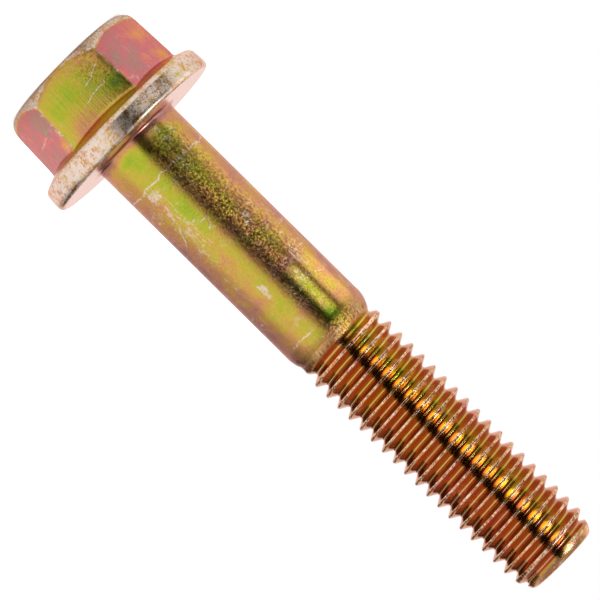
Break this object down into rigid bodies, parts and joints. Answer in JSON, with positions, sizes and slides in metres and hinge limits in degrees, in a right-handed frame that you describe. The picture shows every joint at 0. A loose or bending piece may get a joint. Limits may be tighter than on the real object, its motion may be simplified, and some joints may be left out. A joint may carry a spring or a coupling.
{
  "type": "flange bolt",
  "caption": "Hexagon-head flange bolt with a plain shank, a rolled right-hand thread and an iridescent yellow zinc finish.",
  "frame": {"origin": "the centre of the head's top face, which the bolt stands on", "axes": "+Z along the bolt's axis from the head to the threaded tip; X through two corners of the hexagon, Y square to two of its flats"},
  "size_m": [0.0168, 0.0168, 0.0562],
  "materials": {
    "plated_steel": "yellow chromate over zinc, worn silver on the edges"
  },
  "bodies": {
    "root": {"flange_bolt": "plated_steel"}
  },
  "joints": []
}
